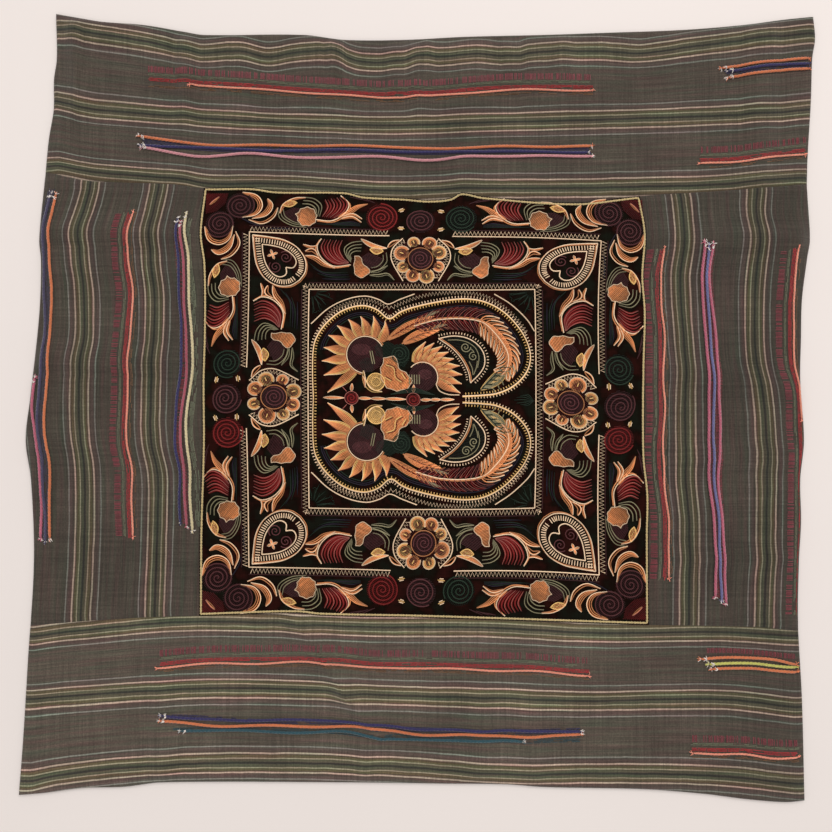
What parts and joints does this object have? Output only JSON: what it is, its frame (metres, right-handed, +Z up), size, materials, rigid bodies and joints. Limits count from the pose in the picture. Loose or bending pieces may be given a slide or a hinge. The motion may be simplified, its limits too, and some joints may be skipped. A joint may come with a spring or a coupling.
{
  "type": "embroidered cushion cover",
  "caption": "Square cloth cushion cover lying flat, with an embroidered centre panel, striped woven borders and rows of loose coloured yarn.",
  "frame": {"origin": "bottom centre of the box around the cover, on the surface it lies on", "axes": "+Z up out of the embroidered face, +Y towards the far edge of the face, +X towards its right-hand edge"},
  "size_m": [0.5097, 0.5052, 0.0091],
  "materials": {
    "striped_cloth": "matt hand-woven cotton, olive brown with fine stripes",
    "back_cloth": "matt plain cotton",
    "embroidered_cloth": "black cotton under dense thread embroidery",
    "edging_cord": "twisted pale cord",
    "orange_yarn": "soft loose yarn",
    "coral_yarn": "soft loose yarn",
    "navy_yarn": "soft loose yarn",
    "pink_yarn": "soft loose yarn",
    "red_yarn": "soft loose yarn",
    "green_yarn": "soft loose yarn",
    "lime_yarn": "soft loose yarn",
    "blue_yarn": "soft loose yarn",
    "teal_yarn": "soft loose yarn"
  },
  "bodies": {
    "root": {"back_panel": "back_cloth", "border_top": "striped_cloth", "border_bottom": "striped_cloth", "border_left": "striped_cloth", "border_right": "striped_cloth", "centre_panel": "embroidered_cloth", "panel_edging": "edging_cord", "yarn_far_long_coral": "coral_yarn", "yarn_far_pair_orange": "orange_yarn", "yarn_far_pair_navy": "navy_yarn", "yarn_far_pair_pink": "pink_yarn", "yarn_far_short_orange": "orange_yarn", "yarn_far_short_navy": "navy_yarn", "yarn_far_short_amber": "orange_yarn", "yarn_far_inner_orange": "orange_yarn", "yarn_left_rim_orange": "orange_yarn", "yarn_left_rim_navy": "navy_yarn", "yarn_left_rim_pink": "pink_yarn", "yarn_left_middle_orange": "orange_yarn", "yarn_left_inner_navy": "navy_yarn", "yarn_left_inner_red": "red_yarn", "yarn_left_inner_green": "green_yarn", "yarn_right_inner_orange": "orange_yarn", "yarn_right_middle_pink": "pink_yarn", "yarn_right_middle_blue": "blue_yarn", "yarn_right_middle_rose": "pink_yarn", "yarn_right_rim_coral": "coral_yarn", "yarn_near_long_coral": "coral_yarn", "yarn_near_pair_navy": "navy_yarn", "yarn_near_pair_orange": "orange_yarn", "yarn_near_pair_teal": "teal_yarn", "yarn_near_short_orange": "orange_yarn", "yarn_near_short_lime": "lime_yarn", "yarn_near_short_amber": "orange_yarn", "yarn_near_outer_orange": "orange_yarn"}
  },
  "joints": []
}
